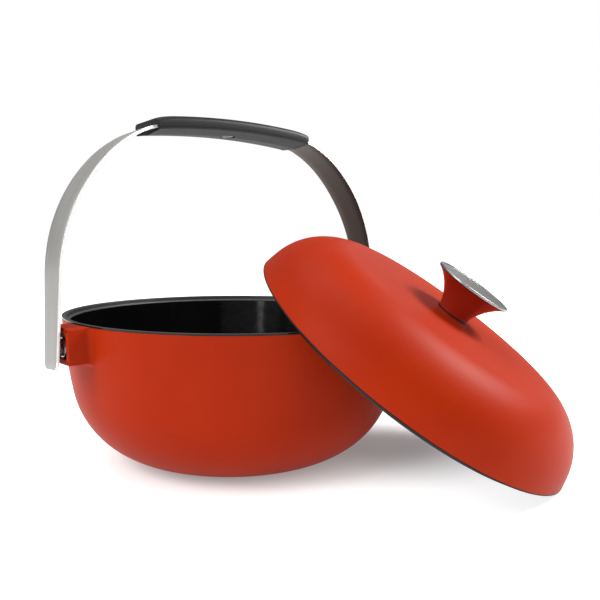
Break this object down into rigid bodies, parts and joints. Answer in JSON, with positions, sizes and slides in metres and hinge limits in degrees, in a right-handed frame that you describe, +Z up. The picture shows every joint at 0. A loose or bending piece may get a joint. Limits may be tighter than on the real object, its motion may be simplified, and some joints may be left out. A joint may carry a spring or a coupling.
{
  "type": "dutch oven",
  "caption": "Rounded cast iron cooking pot with a swinging strap bail, black hand grip, and a domed lid with a flared knob leaning on its rim.",
  "frame": {"origin": "centre of the pot's flat base, on the table", "axes": "+Z up, X along the bail's pivot line from the left lug to the right one, +Y away from the leaning lid"},
  "size_m": [0.3263, 0.3371, 0.238],
  "materials": {
    "enamelled_iron": "matt red-orange enamel outside, gloss black enamel inside and on the rims",
    "steel": "brushed stainless steel",
    "black_moulding": "black heat-resistant moulding, satin",
    "red_moulding": "deep red gloss moulding",
    "dark_rubber": "dark silicone",
    "brass": "plain turned brass"
  },
  "bodies": {
    "pot": {"pot_body": "enamelled_iron", "hinge_block_left": "black_moulding", "hinge_block_right": "black_moulding", "hinge_bush_left": "steel", "hinge_bush_right": "steel"},
    "bail": {"bail_strap": "steel", "pivot_stud_left": "steel", "pivot_stud_right": "steel", "pivot_washer_left": "black_moulding", "pivot_washer_right": "black_moulding", "grip_shell": "black_moulding", "grip_cover": "black_moulding", "grip_screw": "steel", "grip_insert": "brass"},
    "lid": {"lid_body": "enamelled_iron", "knob_gasket": "dark_rubber", "knob_body": "red_moulding", "knob_cap": "steel", "knob_insert": "brass", "knob_washer": "steel", "knob_screw": "steel"}
  },
  "joints": [
    {"name": "bail_swing", "type": "hinge", "parent": "pot", "child": "bail", "pos_m": [0, 0, 0.0895], "axis": [-1, 0, 0], "range_deg": [0, 110]},
    {"name": "lid_lift", "type": "slide", "parent": "pot", "child": "lid", "axis": [0.3021, -0.4966, 0.8137], "range_m": [0, 0.25]}
  ]
}
